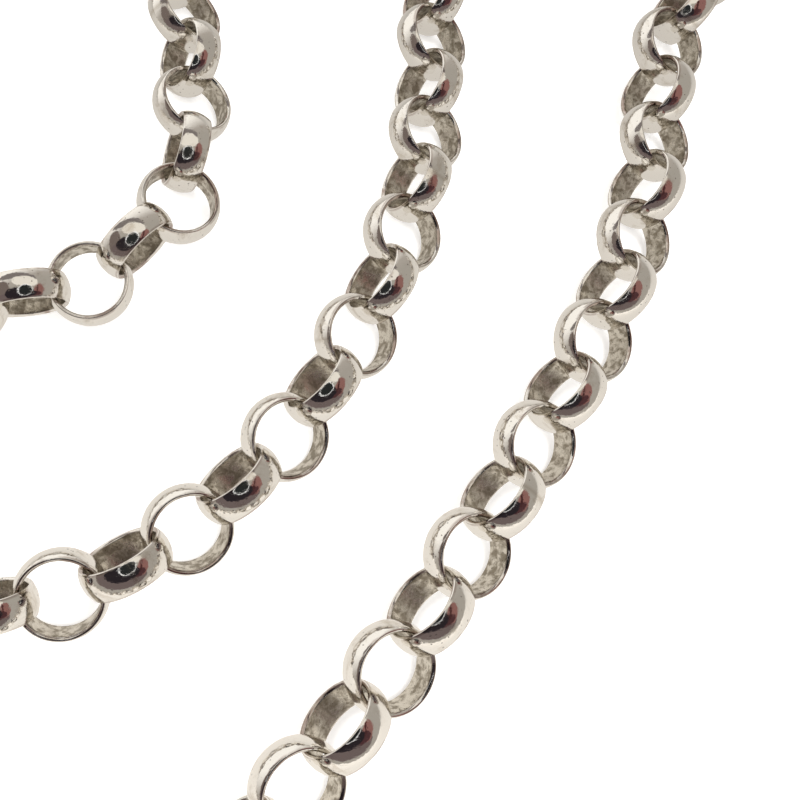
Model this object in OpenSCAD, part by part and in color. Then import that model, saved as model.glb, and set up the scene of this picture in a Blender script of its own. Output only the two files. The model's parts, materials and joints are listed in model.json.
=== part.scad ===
// Chain necklace: a belcher chain of domed band rings with a trigger clasp, laid out open on a flat surface.
// Z is up and the surface is at z = 0. The clasp is unhooked, so the chain is one open run of rings.

/* [Chain ring] */
// Outside diameter of a ring, over its crown
ring_od = 6; // [5.9:0.05:6.1]
// Width of a ring's band, along the ring's axis
band_width = 2.1; // [1.6:0.1:2.1]
// Thickness of the band at its crown
band_thickness = 0.55; // [0.5:0.05:0.6]
// How far the band's edges lie inside its crown
crown_height = 0.27; // [0.15:0.01:0.3]
// Chamfer on the band's inner edges
inner_chamfer = 0.15; // [0.05:0.05:0.2]
// Distance between the centres of two neighbouring rings
ring_pitch = 4.35; // [4.3:0.01:4.35]

/* [Chain] */
// Number of nodes in the chain, each a pair of linked rings
pair_count = 51; // [40:1:51]
// Where the first ring's centre lies, along X
start_x = -47.3; // [-60:0.1:0]
// Where the first ring's centre lies, along Y
start_y = -42.5; // [-60:0.1:0]
// Which way the first link leaves, as an angle from +X
start_heading = -41.4; // [-90:0.1:0]

/* [Round wire rings] */
// Mean diameter of the end ring and of the clasp's jump ring
wire_ring_d = 5.2; // [5.2:0.1:5.4]
// Diameter of their wire
wire_d = 0.9; // [0.8:0.05:0.9]
// Distance from the next ring's centre to a wire ring's centre
wire_ring_pitch = 4; // [3.9:0.05:4.05]
// Lean of the end ring, from 0 lying flat to 90 standing upright
end_ring_lean = 60; // [55:1:65]

/* [Clasp] */
// Thickness of the clasp's body
clasp_thickness = 2.8; // [2.8:0.1:3]
// Outside radius of the claw
claw_r = 3.7; // [3.7:0.05:3.8]
// Radius of the claw's mouth
mouth_r = 2.35; // [2.3:0.05:2.4]
// Distance from the eye's centre to the claw's centre
claw_y = 9.2; // [9.2:0.1:9.4]
// Distance from the eye's centre to the centre of the shoulder that holds the lever
shoulder_y = 4.6; // [4.5:0.05:4.7]
// Radius of the shoulder
shoulder_r = 2.3; // [2.2:0.05:2.4]
// Outside radius of the eye
eye_r = 2.15; // [2.1:0.05:2.2]
// Radius of the hole in the eye
eye_hole_r = 1.4; // [1.35:0.05:1.4]
// Thickness of the eye
eye_thickness = 0.8; // [0.7:0.05:0.8]
// Thickness of the lever
lever_thickness = 1.2; // [1:0.1:1.2]
// Width of the slot that the lever moves in
slot_width = 1.35; // [1.3:0.05:1.4]
// Radius of the rivet
rivet_r = 0.4; // [0.35:0.05:0.4]

/* [Hidden] */
ring_count = 2 * pair_count;
outer_r = ring_od / 2;
inner_r = outer_r - band_thickness;
crown_r = (pow(band_width / 2, 2) + pow(crown_height, 2)) / (2 * crown_height);

// How the chain lies, ring by ring: each run is
// [number of rings, turn at each ring, roll that each ring adds], with left turns positive, in degrees.
runs = [
    [6, 6, 0],
    [11, 5, 0],
    [4, 2, 0],
    [4, 1, 0],
    [5, 4.1, 0],
    [3, -7, 4],
    [2, 10, 5],
    [6, 24.4, 6.5],
    [2, 13, 5.5],
    [2, 5, 5],
    [2, 0, -1.5],
    [5, -5, -0.5],
    [3, -5.9, 1],
    [3, -9.8, -3.5],
    [4, -11.8, -8],
    [7, -24.4, -1.3],
    [1, 8.2, -4.5],
    [2, 19, 0],
    [2, 21, -6],
    [4, 5, -7],
    [4, 6, 4],
    [6, 9, 6.6],
    [4, 9, 0],
    [2, 12, 0],
    [8, 4, 0]
];
start_roll = 6;

function run_of(i, r = 0) = i < runs[r][0] ? r : run_of(i - runs[r][0], r + 1);
function running_sum(list, start) =
    [for (i = 0, sum = start; i < len(list); sum = sum + list[i], i = i + 1) sum];
function unit(v) = v / norm(v);

// Turn of the whole chain at each ring, and each ring's roll about its own length:
// neighbours stand square to each other, so their rolls are 90 degrees apart.
turns = [for (i = [0:ring_count - 1]) runs[run_of(i)][1]];
roll_steps = [for (i = [0:ring_count - 1]) runs[run_of(i)][2]];
leans = running_sum(roll_steps, start_roll);
rolls = [for (i = [0:ring_count - 1]) (i % 2 == 0 ? 45 : -45) + leans[i]];

// A flat ring takes all of its pair's turn and an upright ring takes none.
bends = [for (i = [0:ring_count - 1]) 2 * turns[i] * pow(cos(rolls[i]), 2)];
headings = running_sum(bends, start_heading);
links = [for (i = [0:ring_count - 1]) headings[i] + bends[i]];
path_x = running_sum([for (a = links) ring_pitch * cos(a)], start_x);
path_y = running_sum([for (a = links) ring_pitch * sin(a)], start_y);

// Height of a ring's centre: the steeper ring of each two rests on the surface, and bends lift every other ring.
function steepness(a) = asin(max(abs(sin(a)), abs(cos(a))));
function reach_down(a) =
    tan(a) > (crown_r - crown_height) / (band_width / 2)
        ? (outer_r - crown_r) * sin(a) + crown_r
        : (outer_r - crown_height) * sin(a) + band_width / 2 * cos(a);
lifts = [for (i = [0:ring_count - 1]) ring_pitch / 4 * turns[i] * PI / 180 * cos(2 * leans[i])];
path_z = [for (i = [0:ring_count - 1])
    reach_down(steepness(rolls[i])) + abs(lifts[i]) + (i % 2 == 0 ? 1 : -1) * lifts[i]];
centres = [for (i = [0:ring_count - 1]) [path_x[i], path_y[i], path_z[i]]];

// Direction of the chain at ring i, and the axis of ring i.
function step_into(i) = unit(centres[max(i, 1)] - centres[max(i, 1) - 1]);
function step_out(i) = step_into(min(i + 1, ring_count - 1));
function along(i) = unit(step_into(i) + step_out(i));
function axis_of(i) =
    let(d = along(i), right = unit(cross(d, [0, 0, 1])))
    cos(rolls[i]) * cross(right, d) - sin(rolls[i]) * right;

// Places of the wire rings and the clasp, in line with the chain's two ends.
wire_ring_z = (wire_ring_d + wire_d) / 2;
end_ring_z = wire_ring_d / 2 * sin(end_ring_lean) + wire_d / 2;
last = ring_count - 1;
start_direction = [cos(links[0]), sin(links[0])];
end_heading = links[last - 1];
end_direction = [cos(end_heading), sin(end_heading)];
end_ring_xy = [path_x[0], path_y[0]] - wire_ring_pitch * start_direction;
jump_ring_xy = [path_x[last], path_y[last]] + wire_ring_pitch * end_direction;
clasp_z = clasp_thickness / 2;
eye_reach = sqrt(pow(wire_ring_d / 2, 2) - pow(wire_ring_z - clasp_z, 2));
clasp_xy = jump_ring_xy + eye_reach * end_direction;

// Lever: its pivot, the split between its tip and the claw's tip, and the gap there.
pivot = [1.25, 5];
tip_angle = 20;
split_angle = 66;
tip_gap = 0.1;
mouth = [0.15, claw_y + 0.1];
tip_point = mouth + (claw_r + mouth_r) / 2 * [cos(tip_angle), sin(tip_angle)];
gate_bottom = 6.4;
lever_root_r = 1.05;
big = 20;

function pair_name(k) = str("link_pair_", k < 10 ? "0" : "", k);
pair_names = [for (k = [1:pair_count]) pair_name(k)];
clasp_names = ["end_ring", "clasp_jump_ring", "clasp_body", "clasp_lever", "clasp_rivet", "clasp_spring"];

// Section of a ring's band: flat inside, domed outside.
module band_section() {
    intersection() {
        translate([outer_r - crown_r, 0])
            circle(r = crown_r, $fn = 96);
        polygon([
            [inner_r, inner_chamfer - band_width / 2],
            [inner_r + inner_chamfer, -band_width / 2],
            [outer_r + 1, -band_width / 2],
            [outer_r + 1, band_width / 2],
            [inner_r + inner_chamfer, band_width / 2],
            [inner_r, band_width / 2 - inner_chamfer]
        ]);
    }
}

module band_ring() {
    rotate_extrude($fn = 72)
        band_section();
}

// Turn a shape's Z axis onto the given direction.
module aim(direction) {
    rotate([0, acos(direction[2] / norm(direction)), atan2(direction[1], direction[0])])
        children();
}

module chain_ring(i) {
    translate(centres[i])
        aim(axis_of(i))
            band_ring();
}

// Two neighbouring rings, linked through each other.
module link_pair(k) {
    color("silver")
        for (i = [2 * k - 2:2 * k - 1])
            chain_ring(i);
}

// A closed ring of round wire, leaning from 0 lying flat to 90 standing upright.
module wire_ring(xy, z, heading, lean) {
    color("silver")
        translate([xy[0], xy[1], z])
            rotate([lean, 0, heading])
                rotate_extrude($fn = 72)
                    translate([wire_ring_d / 2, 0])
                        circle(d = wire_d, $fn = 32);
}

// Clasp parts are drawn flat about the eye's centre, with the claw towards +Y.
module place_clasp() {
    translate([clasp_xy[0], clasp_xy[1], clasp_z])
        rotate([0, 0, end_heading - 90])
            children();
}

module slab(thickness) {
    translate([0, 0, -thickness / 2])
        linear_extrude(thickness)
            children();
}

// Everything on the claw's side of the split, moved up by the given gap.
module tip_side(gap) {
    translate(tip_point)
        rotate(split_angle)
            translate([gap, -big / 2])
                square(big);
}

module body_outline() {
    translate([0, shoulder_y])
        circle(r = shoulder_r, $fn = 64);
    translate([0, claw_y])
        circle(r = claw_r, $fn = 96);
    polygon([
        [-shoulder_r, shoulder_y],
        [-claw_r, claw_y],
        [claw_r, claw_y],
        [shoulder_r, shoulder_y]
    ]);
    polygon([
        [-eye_r * 0.7, eye_hole_r],
        [-shoulder_r * 0.9, shoulder_y - 1],
        [shoulder_r * 0.9, shoulder_y - 1],
        [eye_r * 0.7, eye_hole_r]
    ]);
}

// The opening that the gate closes, down to the top of the shoulder.
module gate_gap() {
    difference() {
        translate([mouth[0] + 0.4, gate_bottom])
            square(big);
        tip_side(0);
    }
}

module clasp_body() {
    color("silver")
        place_clasp() {
            difference() {
                slab(clasp_thickness)
                    difference() {
                        body_outline();
                        translate(mouth)
                            circle(r = mouth_r, $fn = 72);
                        gate_gap();
                        circle(r = eye_r + 0.1, $fn = 64);
                    }
                slab(slot_width)
                    translate([-0.25, 2.6])
                        square([big, 5]);
                translate([pivot[0], pivot[1], 0])
                    cylinder(r = rivet_r, h = clasp_thickness + 1, center = true, $fn = 32);
            }
            difference() {
                slab(eye_thickness)
                    union() {
                        circle(r = eye_r, $fn = 64);
                        translate([-1, 0])
                            square([2, 2.6]);
                    }
                cylinder(r = eye_hole_r, h = clasp_thickness, center = true, $fn = 64);
            }
        }
}

// The lever's gate, an arc that closes the mouth.
module gate_outline() {
    difference() {
        intersection() {
            translate([0, claw_y])
                circle(r = claw_r, $fn = 96);
            translate([mouth[0] + 0.4, gate_bottom])
                square(big);
        }
        translate(mouth)
            circle(r = mouth_r, $fn = 72);
        tip_side(-tip_gap);
    }
}

// The arm from the lever's root up to its gate.
module arm_outline() {
    polygon([
        [pivot[0] - 0.9, pivot[1] + 0.4],
        [mouth[0] + 0.75, claw_y - 2.2],
        [3, claw_y - 1.9],
        [2.9, 6.5],
        [pivot[0] + 0.95, pivot[1] + 0.4]
    ]);
}

// The thumb tab, which stands out beside the shoulder.
module tab_outline() {
    polygon([
        [pivot[0] - 0.5, pivot[1] - 0.9],
        [pivot[0] + 0.95, pivot[1] + 0.4],
        [3.6, 3.8],
        [2.9, 2.9]
    ]);
}

module clasp_lever() {
    color("silver")
        place_clasp()
            difference() {
                union() {
                    slab(lever_thickness)
                        gate_outline();
                    slab(lever_thickness)
                        arm_outline();
                    slab(lever_thickness)
                        tab_outline();
                    translate([pivot[0], pivot[1], 0])
                        cylinder(r = lever_root_r, h = lever_thickness, center = true, $fn = 48);
                    translate([3.2, 3.4, 0])
                        cylinder(r = 0.6, h = lever_thickness, center = true, $fn = 32);
                }
                translate([pivot[0], pivot[1], 0])
                    cylinder(r = rivet_r + 0.05, h = clasp_thickness, center = true, $fn = 32);
            }
}

module clasp_rivet() {
    color("gainsboro")
        place_clasp()
            translate([pivot[0], pivot[1], 0])
                cylinder(r = rivet_r, h = clasp_thickness + 0.2, center = true, $fn = 32);
}

// Flat spring that lies in the slot behind the lever's root.
module clasp_spring() {
    color("gray")
        place_clasp()
            translate([-0.25, 3, -lever_thickness / 2])
                cube([0.2, 3.4, lever_thickness]);
}

for (k = [1:pair_count])
    link_pair(k);
wire_ring(end_ring_xy, end_ring_z, links[0], end_ring_lean);  // end_ring
wire_ring(jump_ring_xy, wire_ring_z, end_heading, 90);  // clasp_jump_ring
clasp_body();
clasp_lever();
clasp_rivet();
clasp_spring();
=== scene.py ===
import json
import math

import bmesh
import bpy
import numpy as np
from mathutils import Matrix, Vector, noise


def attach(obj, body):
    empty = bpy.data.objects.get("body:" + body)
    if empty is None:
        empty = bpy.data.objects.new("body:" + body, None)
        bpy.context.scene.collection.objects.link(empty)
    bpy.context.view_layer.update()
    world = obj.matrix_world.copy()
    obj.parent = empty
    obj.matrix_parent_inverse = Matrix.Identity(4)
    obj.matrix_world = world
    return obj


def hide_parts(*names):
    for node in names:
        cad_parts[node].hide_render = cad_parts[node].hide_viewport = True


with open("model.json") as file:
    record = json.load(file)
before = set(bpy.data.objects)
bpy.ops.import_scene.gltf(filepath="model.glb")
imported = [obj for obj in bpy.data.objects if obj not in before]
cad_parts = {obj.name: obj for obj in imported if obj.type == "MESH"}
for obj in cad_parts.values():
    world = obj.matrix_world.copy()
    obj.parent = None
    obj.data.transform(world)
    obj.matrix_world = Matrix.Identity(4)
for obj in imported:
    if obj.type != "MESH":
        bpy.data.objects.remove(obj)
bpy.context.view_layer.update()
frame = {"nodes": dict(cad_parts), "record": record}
nodes = frame["nodes"]
bodies = frame["record"]["behaviour"]["bodies"]
body_of_node = {n: body for body, members in bodies.items() for n in members}

MM = 0.001

# Chain ring, in millimetres
RING_OUTER_R = 3.0
RING_INNER_R = 2.45
BAND_WIDTH = 2.1
CROWN_HEIGHT = 0.27
INNER_CHAMFER = 0.15
CORNER_ROUNDING = 0.055
CROWN_STEPS = 10
INNER_CUTS = 7
RING_STEPS = 72

# A ring's seam, worn corners and darker side faces: reaches and depths in millimetres, strengths
# from 0 to 1
SOLDER_WIDTH = 0.16
SOLDER_STRENGTH = 0.7
SOLDER_DIP = 0.006
WORN_REACH = 0.07
SIDE_CLEARANCE = 0.04
SIDE_DEPTH = 0.12

# Slow dents round a ring: depth in millimetres, waves per millimetre
WOBBLE = 0.010
WOBBLE_SCALE = 0.55
FINE_WOBBLE_SCALE = 1.7
FINE_WOBBLE_SHARE = 0.35
RING_CHANCE = (3.71, 1.93, 0.57)
SEAM_TURN = 2.399963

# Wire rings, in millimetres, and the turn of their seams in radians
WIRE_RING_R = 2.6
WIRE_R = 0.45
WIRE_STEPS = 24
WIRE_RING_STEPS = 96
WIRE_SEAM_WIDTH = 0.12
WIRE_SEAM_STRENGTH = 0.8
WIRE_SEAM_DIP = 0.05
WIRE_SEAM_TURN = 0.6

# Clasp edges: how far the CAD's facets are merged and which edges count as hard
FACET_ANGLE = math.radians(2.0)
HARD_ANGLE = math.radians(35)

# Silver's colours on worn corners, on darkened patches of the side faces and at the solder seam,
# and its fine ripples
EDGE_SILVER = (0.95, 0.93, 0.89)
SIDE_SILVER = (0.46, 0.38, 0.34)
SOLDER_SILVER = (0.66, 0.61, 0.54)
RIPPLE_SCALE = 3600.0
RIPPLE_DEPTH = 0.6

# What pits, scratches and the seam add to the roughness, and their share of the relief
PIT_ROUGHNESS = 0.25
SCRATCH_ROUGHNESS = 0.18
SEAM_ROUGHNESS = 0.1
PIT_DEPTH = 0.35
SCRATCH_DEPTH = 0.12

# Surroundings
FLOOR_SIZE = 3.0
FLOOR_DROP = 0.00002
FLOOR_GLOW_FRONT = 1.05
FLOOR_GLOW_BACK = 0.50
BRIGHT_SIDE = (-0.59, 0.80, 0.13)
ROOM_DIM = (0.38, 0.35, 0.31)
ROOM_MIDDLE = (0.42, 0.38, 0.34)
ROOM_BRIGHT = (1.0, 0.96, 0.90)


# ---------------------------------------------------------------- camera

CAMERA_TARGET = Vector((24.62, -7.33, 0.0)) * MM
CAMERA_ELEVATION = math.radians(68.42)
CAMERA_DISTANCE = 74.53 * MM
CAMERA_ROLL = math.radians(0.36)
CAMERA_LENS = 47.75


def place_camera():
    data = bpy.data.cameras.new("camera")
    data.lens = CAMERA_LENS
    data.sensor_width = 36.0
    data.clip_start = 0.001
    data.clip_end = 20.0
    data.dof.use_dof = False
    camera = bpy.data.objects.new("camera", data)
    away = Vector((0.0, -math.cos(CAMERA_ELEVATION), math.sin(CAMERA_ELEVATION)))
    camera.location = CAMERA_TARGET + away * CAMERA_DISTANCE
    tilt = Matrix.Rotation(math.pi / 2 - CAMERA_ELEVATION, 4, "X")
    camera.rotation_euler = (tilt @ Matrix.Rotation(CAMERA_ROLL, 4, "Z")).to_euler()
    bpy.context.scene.collection.objects.link(camera)
    bpy.context.scene.camera = camera
    return camera


# ---------------------------------------------------------------- shader helpers

def add_node(tree, kind, place, settings=None, **values):
    node = tree.nodes.new(kind)
    node.location = place
    for name, value in (settings or {}).items():
        setattr(node, name, value)
    for name, value in values.items():
        node.inputs[name.replace("_", " ")].default_value = value
    return node


def join(tree, source, target):
    tree.links.new(source, target)


def group_of(name, inputs, outputs):
    tree = bpy.data.node_groups.new(name, "ShaderNodeTree")
    for label, kind, value in inputs:
        socket = tree.interface.new_socket(label, in_out="INPUT", socket_type=kind)
        if value is not None:
            socket.default_value = value
    for label, kind in outputs:
        tree.interface.new_socket(label, in_out="OUTPUT", socket_type=kind)
    start = add_node(tree, "NodeGroupInput", (-900, 0))
    end = add_node(tree, "NodeGroupOutput", (700, 0))
    return tree, start.outputs, end.inputs


def tarnish_group():
    """Soft cloudy patches where the silver has dulled."""
    tree, given, result = group_of(
        "tarnish",
        [("Vector", "NodeSocketVector", None), ("Scale", "NodeSocketFloat", 700.0),
         ("Start", "NodeSocketFloat", 0.5), ("Full", "NodeSocketFloat", 0.7)],
        [("Mask", "NodeSocketFloat")])
    cloud = add_node(
        tree, "ShaderNodeTexNoise", (-600, 0), Detail=5.0, Roughness=0.62, Distortion=0.4)
    ramp = add_node(tree, "ShaderNodeMapRange", (-200, 0), {"interpolation_type": "SMOOTHSTEP"})
    join(tree, given["Vector"], cloud.inputs["Vector"])
    join(tree, given["Scale"], cloud.inputs["Scale"])
    join(tree, cloud.outputs["Fac"], ramp.inputs["Value"])
    join(tree, given["Start"], ramp.inputs["From Min"])
    join(tree, given["Full"], ramp.inputs["From Max"])
    join(tree, ramp.outputs["Result"], result["Mask"])
    return tree


def pits_group():
    """Small round pits, each with its own size, and some cells with none."""
    tree, given, result = group_of(
        "pits",
        [("Vector", "NodeSocketVector", None), ("Scale", "NodeSocketFloat", 5000.0),
         ("Size", "NodeSocketFloat", 0.25)],
        [("Mask", "NodeSocketFloat")])
    warp = add_node(tree, "ShaderNodeTexNoise", (-700, -250), Detail=2.0, Scale=4000.0)
    shift = add_node(
        tree, "ShaderNodeVectorMath", (-500, -250), {"operation": "SCALE"}, Scale=0.00012)
    moved = add_node(tree, "ShaderNodeVectorMath", (-350, 0), {"operation": "ADD"})
    cells = add_node(tree, "ShaderNodeTexVoronoi", (-150, 0), {"feature": "F1"}, Randomness=1.0)
    pick = add_node(tree, "ShaderNodeSeparateColor", (50, -200))
    size = add_node(tree, "ShaderNodeMath", (200, -200), {"operation": "MULTIPLY"})
    ramp = add_node(tree, "ShaderNodeMapRange", (400, 0), {"interpolation_type": "SMOOTHSTEP"})
    ramp.inputs["To Min"].default_value = 1.0
    ramp.inputs["To Max"].default_value = 0.0
    ramp.inputs["From Min"].default_value = 0.0
    join(tree, given["Vector"], warp.inputs["Vector"])
    join(tree, warp.outputs["Color"], shift.inputs[0])
    join(tree, given["Vector"], moved.inputs[0])
    join(tree, shift.outputs["Vector"], moved.inputs[1])
    join(tree, moved.outputs["Vector"], cells.inputs["Vector"])
    join(tree, given["Scale"], cells.inputs["Scale"])
    join(tree, cells.outputs["Color"], pick.inputs["Color"])
    join(tree, pick.outputs["Red"], size.inputs[0])
    join(tree, given["Size"], size.inputs[1])
    join(tree, cells.outputs["Distance"], ramp.inputs["Value"])
    join(tree, size.outputs["Value"], ramp.inputs["From Max"])
    join(tree, ramp.outputs["Result"], result["Mask"])
    return tree


def scratches_group():
    """Hairline scratches from wear, running three ways."""
    tree, given, result = group_of(
        "scratches",
        [("Vector", "NodeSocketVector", None), ("Amount", "NodeSocketFloat", 0.5)],
        [("Mask", "NodeSocketFloat")])
    last = None
    for i, turn in enumerate(((0.3, 0.2, 0.5), (1.2, 0.7, 2.1), (0.6, 1.9, 1.1))):
        y = 300 - 300 * i
        mapping = add_node(tree, "ShaderNodeMapping", (-700, y))
        mapping.inputs["Rotation"].default_value = turn
        mapping.inputs["Scale"].default_value = (300.0, 9000.0, 9000.0)
        lines = add_node(tree, "ShaderNodeTexNoise", (-500, y), Scale=1.0, Detail=1.0)
        ramp = add_node(tree, "ShaderNodeMapRange", (-250, y))
        ramp.inputs["From Min"].default_value = 0.66
        ramp.inputs["From Max"].default_value = 0.74
        join(tree, given["Vector"], mapping.inputs["Vector"])
        join(tree, mapping.outputs["Vector"], lines.inputs["Vector"])
        join(tree, lines.outputs["Fac"], ramp.inputs["Value"])
        if last is None:
            last = ramp.outputs["Result"]
        else:
            both = add_node(tree, "ShaderNodeMath", (0, y), {"operation": "MAXIMUM"})
            join(tree, last, both.inputs[0])
            join(tree, ramp.outputs["Result"], both.inputs[1])
            last = both.outputs["Value"]
    strength = add_node(tree, "ShaderNodeMath", (300, 0), {"operation": "MULTIPLY"})
    join(tree, last, strength.inputs[0])
    join(tree, given["Amount"], strength.inputs[1])
    join(tree, strength.outputs["Value"], result["Mask"])
    return tree


def mixed_colour(tree, place, mask, first, second):
    mix = add_node(tree, "ShaderNodeMix", place, {"data_type": "RGBA"})
    join(tree, mask, mix.inputs["Factor"])
    for socket, colour in ((mix.inputs[6], first), (mix.inputs[7], second)):
        if isinstance(colour, bpy.types.NodeSocket):
            join(tree, colour, socket)
        else:
            socket.default_value = (*colour, 1.0)
    return mix.outputs[2]


def raised(tree, place, value, mask, amount):
    """value + mask x amount, kept between 0 and 1."""
    step = add_node(tree, "ShaderNodeMath", place, {"operation": "MULTIPLY_ADD", "use_clamp": True})
    join(tree, mask, step.inputs[0])
    step.inputs[1].default_value = amount
    if isinstance(value, bpy.types.NodeSocket):
        join(tree, value, step.inputs[2])
    else:
        step.inputs[2].default_value = value
    return step.outputs["Value"]


def silver(name, clean, dull, pit, roughness, tarnish, pits, scratches, bump, worn_edges=True):
    """A silver finish. tarnish is (scale, start, full, added roughness), pits is (scale, size),
    scratches is an amount, and bump is the depth of the whole relief in metres. With worn_edges
    it also shows a ring's bright worn corners, side faces darkened in cloudy patches, and its
    solder seam."""
    material = bpy.data.materials.new(name)
    material.use_nodes = True
    tree = material.node_tree
    shader = tree.nodes["Principled BSDF"]
    shader.location = (600, 0)
    tree.nodes["Material Output"].location = (900, 0)
    shader.inputs["Metallic"].default_value = 1.0
    place = add_node(tree, "ShaderNodeTexCoord", (-1200, 0)).outputs["Object"]

    clouds = add_node(tree, "ShaderNodeGroup", (-900, 300), {"node_tree": groups["tarnish"]})
    clouds.inputs["Scale"].default_value = tarnish[0]
    clouds.inputs["Start"].default_value = tarnish[1]
    clouds.inputs["Full"].default_value = tarnish[2]
    dots = add_node(tree, "ShaderNodeGroup", (-900, 0), {"node_tree": groups["pits"]})
    dots.inputs["Scale"].default_value = pits[0]
    dots.inputs["Size"].default_value = pits[1]
    lines = add_node(tree, "ShaderNodeGroup", (-900, -300), {"node_tree": groups["scratches"]})
    lines.inputs["Amount"].default_value = scratches
    for group in (clouds, dots, lines):
        join(tree, place, group.inputs["Vector"])

    colour = mixed_colour(tree, (-500, 300), clouds.outputs["Mask"], clean, dull)
    colour = mixed_colour(tree, (-200, 300), dots.outputs["Mask"], colour, pit)
    rough = raised(tree, (-500, 0), roughness, clouds.outputs["Mask"], tarnish[3])
    rough = raised(tree, (-300, 0), rough, dots.outputs["Mask"], PIT_ROUGHNESS)
    rough = raised(tree, (-100, 0), rough, lines.outputs["Mask"], SCRATCH_ROUGHNESS)
    if worn_edges:
        side = add_node(tree, "ShaderNodeAttribute", (-700, 1000), {"attribute_name": "side_face"})
        patches = add_node(tree, "ShaderNodeGroup", (-900, 1100), {"node_tree": groups["tarnish"]})
        for socket, value in (("Scale", 420.0), ("Start", 0.42), ("Full", 0.58)):
            patches.inputs[socket].default_value = value
        join(tree, place, patches.inputs["Vector"])
        # side faces darkened toward SIDE_SILVER in cloudy patches: the side_face attribute times a
        # tarnish noise mask
        side_darkening = add_node(tree, "ShaderNodeMath", (-300, 900), {"operation": "MULTIPLY"})
        join(tree, side.outputs["Fac"], side_darkening.inputs[0])
        join(tree, patches.outputs["Mask"], side_darkening.inputs[1])
        colour = mixed_colour(tree, (0, 600), side_darkening.outputs["Value"], colour, SIDE_SILVER)
        edge = add_node(tree, "ShaderNodeAttribute", (-700, 600), {"attribute_name": "worn_edge"})
        colour = mixed_colour(tree, (100, 300), edge.outputs["Fac"], colour, EDGE_SILVER)
        seam = add_node(tree, "ShaderNodeAttribute", (-700, 800), {"attribute_name": "solder"})
        colour = mixed_colour(tree, (300, 300), seam.outputs["Fac"], colour, SOLDER_SILVER)
        rough = raised(tree, (100, 0), rough, seam.outputs["Fac"], SEAM_ROUGHNESS)
    join(tree, colour, shader.inputs["Base Color"])
    join(tree, rough, shader.inputs["Roughness"])

    depth = raised(tree, (-500, -400), 0.0, dots.outputs["Mask"], PIT_DEPTH)
    depth = raised(tree, (-300, -400), depth, lines.outputs["Mask"], SCRATCH_DEPTH)
    ripple = add_node(tree, "ShaderNodeTexNoise", (-500, -600), Scale=RIPPLE_SCALE, Detail=2.0)
    join(tree, place, ripple.inputs["Vector"])
    depth = raised(tree, (-100, -400), depth, ripple.outputs["Fac"], RIPPLE_DEPTH)
    relief = add_node(
        tree, "ShaderNodeBump", (300, -300), {"invert": True}, Strength=1.0, Distance=bump)
    join(tree, depth, relief.inputs["Height"])
    join(tree, relief.outputs["Normal"], shader.inputs["Normal"])
    return material


groups = {"tarnish": tarnish_group(), "pits": pits_group(), "scratches": scratches_group()}

polished = silver(
    "polished_silver", clean=(0.93, 0.91, 0.87), dull=(0.74, 0.69, 0.62), pit=(0.16, 0.13, 0.11),
    roughness=0.07, tarnish=(600.0, 0.52, 0.75, 0.12), pits=(2700.0, 0.27), scratches=0.6,
    bump=0.000012)
inner = silver(
    "inner_silver", clean=(0.74, 0.70, 0.62), dull=(0.34, 0.30, 0.24), pit=(0.10, 0.08, 0.06),
    roughness=0.26, tarnish=(1800.0, 0.40, 0.62, 0.18), pits=(6500.0, 0.42), scratches=0.4,
    bump=0.000026)
wire_silver = silver(
    "wire_silver", clean=(0.92, 0.90, 0.86), dull=(0.72, 0.67, 0.60), pit=(0.25, 0.21, 0.18),
    roughness=0.09, tarnish=(700.0, 0.50, 0.75, 0.12), pits=(3000.0, 0.14), scratches=0.6,
    bump=0.000012)
clasp_silver = silver(
    "clasp_silver", clean=(0.92, 0.90, 0.86), dull=(0.72, 0.67, 0.60), pit=(0.25, 0.21, 0.18),
    roughness=0.10, tarnish=(450.0, 0.48, 0.75, 0.14), pits=(2500.0, 0.14), scratches=0.8,
    bump=0.000012, worn_edges=False)
spring_steel = silver(
    "spring_steel", clean=(0.55, 0.55, 0.56), dull=(0.40, 0.39, 0.38), pit=(0.15, 0.13, 0.12),
    roughness=0.28, tarnish=(900.0, 0.45, 0.75, 0.12), pits=(4000.0, 0.14), scratches=1.0,
    bump=0.000008, worn_edges=False)


# ---------------------------------------------------------------- chain rings

def band_section(bm):
    """The band's section as a face in the XZ plane: flat inside, domed outside, corners rounded."""
    half = BAND_WIDTH / 2
    crown_r = (half ** 2 + CROWN_HEIGHT ** 2) / (2 * CROWN_HEIGHT)
    crown_angle = math.asin(half / crown_r)
    corners = [
        (RING_INNER_R, half - INNER_CHAMFER),
        (RING_INNER_R, INNER_CHAMFER - half),
        (RING_INNER_R + INNER_CHAMFER, -half),
    ]
    for i in range(CROWN_STEPS + 1):
        a = crown_angle * (2 * i / CROWN_STEPS - 1)
        corners.append((RING_OUTER_R - crown_r + crown_r * math.cos(a), crown_r * math.sin(a)))
    corners.append((RING_INNER_R + INNER_CHAMFER, half))
    verts = [bm.verts.new((x, 0.0, z)) for x, z in corners]
    bm.faces.new(verts)
    sharp = [v for v in verts if v.co.x < RING_OUTER_R - CROWN_HEIGHT + 1e-6]
    bmesh.ops.bevel(
        bm, geom=sharp, offset=CORNER_ROUNDING, offset_type="OFFSET", affect="VERTICES",
        segments=3, profile=0.5, material=-1, clamp_overlap=True)
    inner_edge = [e for e in bm.edges if all(abs(v.co.x - RING_INNER_R) < 1e-6 for v in e.verts)]
    bmesh.ops.subdivide_edges(bm, edges=inner_edge, cuts=INNER_CUTS, use_grid_fill=False)


def spun_band():
    """One ring about the Z axis, in millimetres, round the origin."""
    bm = bmesh.new()
    band_section(bm)
    section = list(bm.faces)
    edges = list(bm.edges)
    bmesh.ops.delete(bm, geom=section, context="FACES_ONLY")
    bmesh.ops.spin(
        bm, geom=list(bm.verts) + edges, cent=(0, 0, 0), axis=(0, 0, 1), dvec=(0, 0, 0),
        angle=2 * math.pi, steps=RING_STEPS, use_merge=True, use_normal_flip=False,
        use_duplicate=False)
    bmesh.ops.remove_doubles(bm, verts=bm.verts, dist=1e-5)
    bmesh.ops.recalc_face_normals(bm, faces=bm.faces)
    return bm


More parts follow.
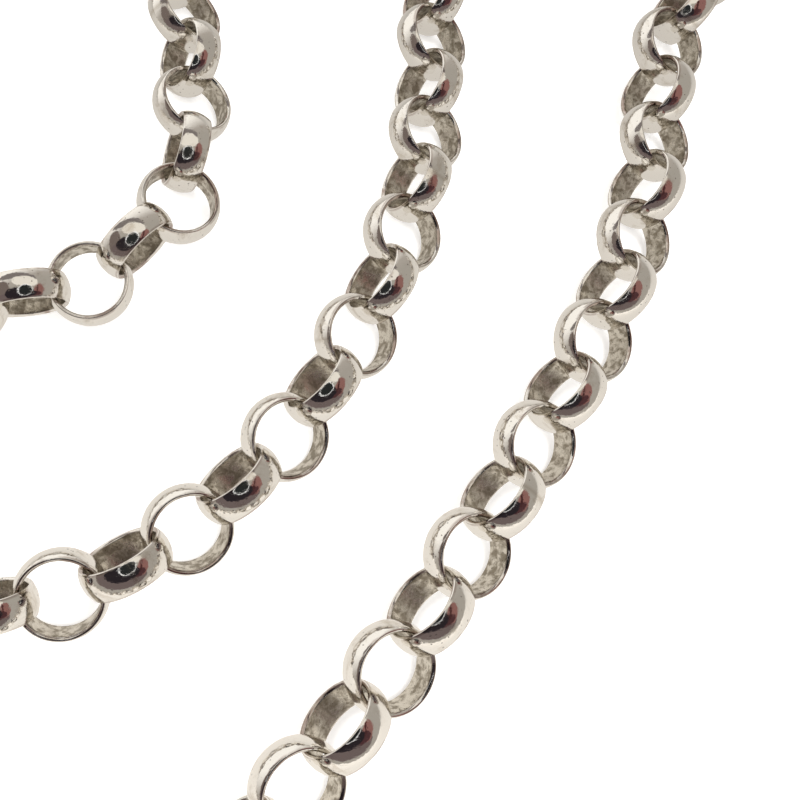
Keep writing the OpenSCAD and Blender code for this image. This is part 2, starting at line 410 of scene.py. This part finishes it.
def solids_of(node):
    """Centre and axis of each closed solid of a CAD node, found from its own mesh."""
    bm = bmesh.new()
    bm.from_mesh(node.data)
    bmesh.ops.remove_doubles(bm, verts=bm.verts, dist=1e-6)
    left = set(bm.faces)
    found = []
    while left:
        grown = [left.pop()]
        for face in grown:
            for edge in face.edges:
                for other in edge.link_faces:
                    if other in left:
                        left.remove(other)
                        grown.append(other)
        places = np.array([f.calc_center_median() for f in grown])
        areas = np.array([f.calc_area() for f in grown])
        centre = (places * areas[:, None]).sum(0) / areas.sum()
        spread = (places - centre).T @ ((places - centre) * areas[:, None])
        axis = np.linalg.eigh(spread)[1][:, 0]
        found.append((Vector(centre), Vector(axis if axis[2] > 0 else -axis)))
    bm.free()
    return found


def standing_at(centre, axis, turn):
    """The matrix that puts a ring made round Z, in millimetres, at its place."""
    upright = axis.to_track_quat("Z", "Y").to_matrix().to_4x4()
    turned = Matrix.Rotation(turn, 4, "Z") @ Matrix.Scale(MM, 4)
    return Matrix.Translation(centre) @ upright @ turned


def angle_apart(a, b):
    return abs((a - b + math.pi) % (2 * math.pi) - math.pi)


def finish_piece(bm, name, body, materials, replaced=()):
    mesh = bpy.data.meshes.new(name)
    bm.to_mesh(mesh)
    bm.free()
    for material in materials:
        mesh.materials.append(material)
    piece = bpy.data.objects.new(name, mesh)
    bpy.context.scene.collection.objects.link(piece)
    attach(piece, body)
    if replaced:
        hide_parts(*replaced)
    return piece


def chain_ring(number, centre, axis, node):
    bm = spun_band()
    solder_layer = bm.verts.layers.float.new("solder")
    edge_layer = bm.verts.layers.float.new("worn_edge")
    side_layer = bm.verts.layers.float.new("side_face")
    half = BAND_WIDTH / 2
    seam_angle = math.pi
    chance = Vector([number * step for step in RING_CHANCE])
    for v in bm.verts:
        around = math.atan2(v.co.y, v.co.x)
        r = math.hypot(v.co.x, v.co.y)
        seam = math.exp(-(angle_apart(around, seam_angle) * RING_OUTER_R / SOLDER_WIDTH) ** 2)
        v[solder_layer] = SOLDER_STRENGTH * seam
        corner = math.hypot(abs(v.co.z) - half, r - RING_OUTER_R + CROWN_HEIGHT)
        v[edge_layer] = max(0.0, 1.0 - corner / WORN_REACH)
        on_side = abs(v.co.z) > half - SIDE_DEPTH and corner > SIDE_CLEARANCE
        v[side_layer] = 1.0 if on_side else 0.0
        dent = noise.noise(v.co * WOBBLE_SCALE + chance) * WOBBLE
        dent += noise.noise(v.co * FINE_WOBBLE_SCALE + chance) * WOBBLE * FINE_WOBBLE_SHARE
        outward = Vector((v.co.x / r, v.co.y / r, 0.0))
        v.co += outward * (dent - SOLDER_DIP * seam)
    for f in bm.faces:
        f.smooth = True
        middle = f.calc_center_median()
        f.material_index = 1 if math.hypot(middle.x, middle.y) < RING_INNER_R + 0.02 else 0
    bm.transform(standing_at(centre, axis, SEAM_TURN * number))
    name = f"chain_ring_{number:03d}"
    return finish_piece(bm, name, body_of_node[node], (polished, inner), (node,))


def lay_chain():
    """A finished ring on each ring of the CAD, numbered along the chain."""
    pairs = sorted(n for n in nodes if n.startswith("link_pair_"))
    rings = {n: solids_of(nodes[n]) for n in pairs}
    number = 0
    for k, n in enumerate(pairs):
        beyond = pairs[k + 1] if k + 1 < len(pairs) else pairs[k - 1]
        goal = (rings[beyond][0][0] + rings[beyond][1][0]) / 2
        outward = k + 1 < len(pairs)
        ordered = sorted(rings[n], key=lambda ring: (ring[0] - goal).length, reverse=outward)
        for centre, axis in ordered:
            number += 1
            chain_ring(number, centre, axis, n)


# ---------------------------------------------------------------- wire rings and clasp

def wire_ring(node):
    centre, axis = solids_of(nodes[node])[0]
    bm = bmesh.new()
    upright = Matrix.Translation((WIRE_RING_R, 0, 0)) @ Matrix.Rotation(math.pi / 2, 4, "X")
    bmesh.ops.create_circle(bm, cap_ends=False, radius=WIRE_R, segments=WIRE_STEPS, matrix=upright)
    bmesh.ops.spin(
        bm, geom=list(bm.verts) + list(bm.edges), cent=(0, 0, 0), axis=(0, 0, 1), dvec=(0, 0, 0),
        angle=2 * math.pi, steps=WIRE_RING_STEPS, use_merge=True, use_normal_flip=False,
        use_duplicate=False)
    bmesh.ops.remove_doubles(bm, verts=bm.verts, dist=1e-5)
    bmesh.ops.recalc_face_normals(bm, faces=bm.faces)
    solder_layer = bm.verts.layers.float.new("solder")
    for layer in ("worn_edge", "side_face"):
        bm.verts.layers.float.new(layer)
    for v in bm.verts:
        around = math.atan2(v.co.y, v.co.x)
        seam = math.exp(-(angle_apart(around, math.pi) * WIRE_RING_R / WIRE_SEAM_WIDTH) ** 2)
        v[solder_layer] = WIRE_SEAM_STRENGTH * seam
        core = Vector((v.co.x, v.co.y, 0.0)).normalized() * WIRE_RING_R
        v.co = core + (v.co - core) * (1.0 - WIRE_SEAM_DIP * seam)
    for f in bm.faces:
        f.smooth = True
    bm.transform(standing_at(centre, axis, WIRE_SEAM_TURN))
    name = node + "_wire"
    return finish_piece(bm, name, body_of_node[node], (wire_silver,), (node,))


def softened(node, offset, material, name):
    """A clasp piece: the CAD shape with its hard edges rounded over."""
    bm = bmesh.new()
    bm.from_mesh(nodes[node].data)
    bmesh.ops.remove_doubles(bm, verts=bm.verts, dist=2e-6)
    bmesh.ops.dissolve_limit(
        bm, angle_limit=FACET_ANGLE, use_dissolve_boundaries=False, verts=bm.verts,
        edges=bm.edges, delimit={"NORMAL"})
    bmesh.ops.recalc_face_normals(bm, faces=bm.faces)
    hard = [e for e in bm.edges if e.is_manifold and e.calc_face_angle() > HARD_ANGLE]
    bmesh.ops.bevel(
        bm, geom=hard, offset=offset * MM, offset_type="OFFSET", affect="EDGES", segments=3,
        profile=0.5, material=-1, clamp_overlap=True, loop_slide=True, harden_normals=False)
    bmesh.ops.triangulate(bm, faces=[f for f in bm.faces if len(f.verts) > 4])
    for f in bm.faces:
        f.smooth = True
    piece = finish_piece(bm, name, body_of_node[node], (material,), (node,))
    weighted = piece.modifiers.new("even_normals", "WEIGHTED_NORMAL")
    weighted.keep_sharp = True
    return piece


# ---------------------------------------------------------------- surroundings

def glowing(name, colour, strength):
    material = bpy.data.materials.new(name)
    material.use_nodes = True
    tree = material.node_tree
    tree.nodes.clear()
    glow = add_node(tree, "ShaderNodeEmission", (0, 0), Strength=strength)
    glow.inputs["Color"].default_value = (*colour, 1.0)
    join(tree, glow.outputs[0], add_node(tree, "ShaderNodeOutputMaterial", (200, 0)).inputs[0])
    return material


def studio_floor():
    """White paper. Reflections see it greyer and warmer, brighter toward the front."""
    bm = bmesh.new()
    bmesh.ops.create_grid(bm, x_segments=1, y_segments=1, size=FLOOR_SIZE)
    mesh = bpy.data.meshes.new("floor")
    bm.to_mesh(mesh)
    bm.free()
    material = bpy.data.materials.new("floor_paper")
    material.use_nodes = True
    tree = material.node_tree
    shader = tree.nodes["Principled BSDF"]
    shader.inputs["Base Color"].default_value = (0.93, 0.93, 0.93, 1.0)
    shader.inputs["Roughness"].default_value = 0.9
    shader.inputs["Emission Color"].default_value = (1.0, 1.0, 1.0, 1.0)
    shader.inputs["Emission Strength"].default_value = 0.35
    place = add_node(tree, "ShaderNodeTexCoord", (-800, -300))
    parts = add_node(tree, "ShaderNodeSeparateXYZ", (-600, -300))
    depth = add_node(tree, "ShaderNodeMapRange", (-400, -300))
    depth.inputs["From Min"].default_value = -0.06
    depth.inputs["From Max"].default_value = 0.05
    depth.inputs["To Min"].default_value = FLOOR_GLOW_FRONT
    depth.inputs["To Max"].default_value = FLOOR_GLOW_BACK
    glow = add_node(tree, "ShaderNodeEmission", (-100, -300))
    glow.inputs["Color"].default_value = (1.0, 0.94, 0.86, 1.0)
    ray = add_node(tree, "ShaderNodeLightPath", (-100, 300))
    mix = add_node(tree, "ShaderNodeMixShader", (300, 0))
    join(tree, place.outputs["Object"], parts.inputs["Vector"])
    join(tree, parts.outputs["Y"], depth.inputs["Value"])
    join(tree, depth.outputs["Result"], glow.inputs["Strength"])
    join(tree, ray.outputs["Is Glossy Ray"], mix.inputs[0])
    join(tree, shader.outputs[0], mix.inputs[1])
    join(tree, glow.outputs[0], mix.inputs[2])
    join(tree, mix.outputs[0], tree.nodes["Material Output"].inputs[0])
    mesh.materials.append(material)
    floor = bpy.data.objects.new("floor", mesh)
    floor.location.z = -FLOOR_DROP
    bpy.context.scene.collection.objects.link(floor)


def sky():
    """A dim warm room with one bright side, behind and to the left."""
    world = bpy.data.worlds.new("studio")
    bpy.context.scene.world = world
    world.use_nodes = True
    tree = world.node_tree
    background = tree.nodes["Background"]
    direction = add_node(tree, "ShaderNodeTexCoord", (-900, 0))
    facing = add_node(tree, "ShaderNodeVectorMath", (-700, 0), {"operation": "DOT_PRODUCT"})
    facing.inputs[1].default_value = BRIGHT_SIDE
    ramp = add_node(tree, "ShaderNodeValToRGB", (-450, 0))
    ramp.color_ramp.elements[0].position = 0.0
    ramp.color_ramp.elements[0].color = (*ROOM_DIM, 1.0)
    ramp.color_ramp.elements[1].position = 0.85
    ramp.color_ramp.elements[1].color = (*ROOM_BRIGHT, 1.0)
    ramp.color_ramp.elements.new(0.35).color = (*ROOM_MIDDLE, 1.0)
    join(tree, direction.outputs["Generated"], facing.inputs[0])
    join(tree, facing.outputs["Value"], ramp.inputs["Fac"])
    join(tree, ramp.outputs["Color"], background.inputs["Color"])
    background.inputs["Strength"].default_value = 1.0


def reflection_card(name, camera, right, up, toward, size, colour, strength=1.0, hole=0.0):
    """A round card that only reflections see, ring-shaped if it has a hole. right, up and toward
    are its place from the lens, and size its two radii, all in millimetres."""
    bm = bmesh.new()
    if hole:
        bmesh.ops.create_circle(bm, cap_ends=False, radius=hole, segments=64)
        inside = list(bm.edges)
        grown = bmesh.ops.extrude_edge_only(bm, edges=inside)["geom"]
        rim = [g for g in grown if isinstance(g, bmesh.types.BMVert)]
        bmesh.ops.scale(bm, vec=(size[0] / hole, size[1] / hole, 1.0), verts=rim)
    else:
        bmesh.ops.create_circle(bm, cap_ends=True, radius=1.0, segments=48)
        bmesh.ops.scale(bm, vec=(size[0], size[1], 1.0), verts=bm.verts)
    place = Matrix.Translation(Vector((right, up, -toward)) * MM)
    bm.transform(camera.matrix_world @ place @ Matrix.Scale(MM, 4))
    mesh = bpy.data.meshes.new(name)
    bm.to_mesh(mesh)
    bm.free()
    mesh.materials.append(glowing(name, colour, strength))
    card = bpy.data.objects.new(name, mesh)
    for ray in ("camera", "diffuse", "shadow", "transmission", "volume_scatter"):
        setattr(card, "visible_" + ray, False)
    bpy.context.scene.collection.objects.link(card)
    return card


def soft_light(name, place, energy, size):
    data = bpy.data.lights.new(name, "AREA")
    data.energy = energy
    data.size = size
    light = bpy.data.objects.new(name, data)
    light.location = place
    light.rotation_euler = (-Vector(place)).to_track_quat("-Z", "Y").to_euler()
    light.visible_glossy = False
    bpy.context.scene.collection.objects.link(light)


camera = place_camera()
bpy.context.view_layer.update()
bpy.context.scene.view_settings.view_transform = "Standard"
studio_floor()
sky()
soft_light("key_light", (0.35, -0.25, 0.7), 6.0, 0.5)
soft_light("fill_light", (-0.5, 0.3, 0.6), 3.0, 0.6)
reflection_card("dim_overhead", camera, -60, 130, -28, (150, 50), (0.20, 0.175, 0.165))
reflection_card("pale_window", camera, 10, 62, -16, (74, 40), (0.82, 0.77, 0.69))
reflection_card("taupe_left", camera, -120, -25, -12, (66, 90), (0.17, 0.135, 0.12))
reflection_card("shaded_room", camera, 0, -70, -9, (160, 62), (0.15, 0.115, 0.11))
reflection_card("warm_side", camera, 96, -2, -6, (54, 56), (0.26, 0.125, 0.11))
reflection_card("warm_shade", camera, 62, -30, -5, (48, 24), (0.075, 0.032, 0.034))
reflection_card("warm_stripe", camera, 60, 6, -4, (7, 34), (0.06, 0.022, 0.022))
reflection_card("dark_body", camera, -14, -22, -2, (66, 36), (0.022, 0.017, 0.020))
reflection_card("lens_rim", camera, 0, 0, 2, (28, 28), (1.0, 1.0, 1.0), hole=25.0)
reflection_card("lens_glass", camera, 0, 0, 1, (25.0, 25.0), (0.02, 0.022, 0.022))

lay_chain()
wire_ring("end_ring")
wire_ring("clasp_jump_ring")
softened("clasp_body", 0.28, clasp_silver, "clasp_frame")
softened("clasp_lever", 0.14, clasp_silver, "clasp_gate")
softened("clasp_rivet", 0.10, clasp_silver, "clasp_pin")
softened("clasp_spring", 0.03, spring_steel, "clasp_leaf_spring")
